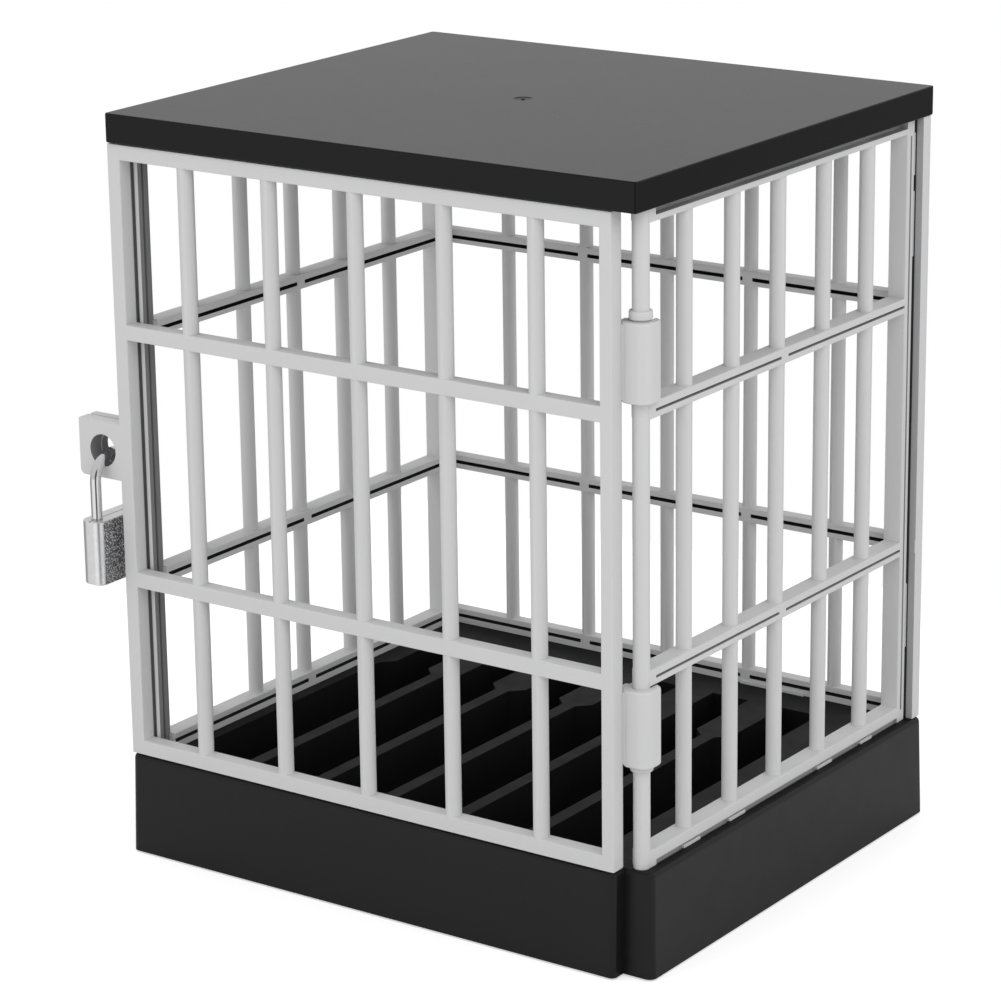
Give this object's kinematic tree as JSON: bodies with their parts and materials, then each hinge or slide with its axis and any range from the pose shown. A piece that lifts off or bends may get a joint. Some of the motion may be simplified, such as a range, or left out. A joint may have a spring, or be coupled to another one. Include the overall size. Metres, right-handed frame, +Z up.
{
  "type": "barred phone cell with padlock",
  "caption": "Desktop cell for phones: barred walls and a hinged barred door between a slotted rack base and a flat lid, held shut by a small padlock on a hasp.",
  "frame": {"origin": "on the table surface, in the middle of the foot pad and so under the middle of the base and the lid", "axes": "+Z up, -Y out through the door, +X to the hinge side; the padlock hangs at -X"},
  "size_m": [0.1712, 0.143, 0.1955],
  "materials": {
    "base_plastic": "moulded, fine satin grain",
    "rack_plastic": "moulded, fine satin grain",
    "cover_plastic": "moulded, satin",
    "lid_plastic": "moulded, satin",
    "bar_plastic": "moulded, light grey, satin",
    "foot_rubber": "matt black",
    "screw_steel": "zinc plated",
    "shackle_chrome": "bright plated",
    "case_metal": "plated, polished edge and hammered flat sides",
    "plug_brass": "machined",
    "pin_steel": "drawn"
  },
  "bodies": {
    "cage": {"base_shell": "base_plastic", "rack_tray": "rack_plastic", "base_cover": "cover_plastic", "cover_screws": "screw_steel", "foot_pad": "foot_rubber", "lid": "lid_plastic", "left_wall": "bar_plastic", "back_wall": "bar_plastic", "hinge_wall": "bar_plastic"},
    "door": {"door_panel": "bar_plastic"},
    "shackle": {"lock_shackle": "shackle_chrome"},
    "case": {"lock_case": "case_metal", "case_pins": "pin_steel", "latch_bore_plug": "case_metal", "shackle_spring": "pin_steel", "latch_spring": "pin_steel"},
    "plug": {"lock_plug": "plug_brass", "lock_wafers": "plug_brass", "wafer_springs": "pin_steel"},
    "latch": {"lock_latch": "plug_brass"}
  },
  "joints": [
    {"name": "door_swing", "type": "hinge", "parent": "cage", "child": "door", "pos_m": [0.07376, -0.06012, 0.1076], "axis": [0, 0, 1], "range_deg": [0, 180]},
    {"name": "padlock_swing", "type": "hinge", "parent": "door", "child": "shackle", "pos_m": [-0.08395, -0.0646, 0.108], "axis": [0, 1, 0], "range_deg": [-3, 100]},
    {"name": "case_drop", "type": "slide", "parent": "shackle", "child": "case", "axis": [0, 0, -1], "range_m": [0, 0.0045], "deforming": ["shackle_spring"]},
    {"name": "key_turn", "type": "hinge", "parent": "case", "child": "plug", "pos_m": [-0.084, -0.06465, 0.08], "axis": [0, 0, 1], "range_deg": [0, 90]},
    {"name": "latch_slide", "type": "slide", "parent": "case", "child": "latch", "axis": [0, 1, 0], "range_m": [0, 0.0022], "deforming": ["latch_spring"]}
  ],
  "couplings": [
    {"joint": "key_turn", "follows": "case_drop", "rad_per_m": 349.07},
    {"joint": "latch_slide", "follows": "case_drop", "ratio": 0.48889}
  ]
}
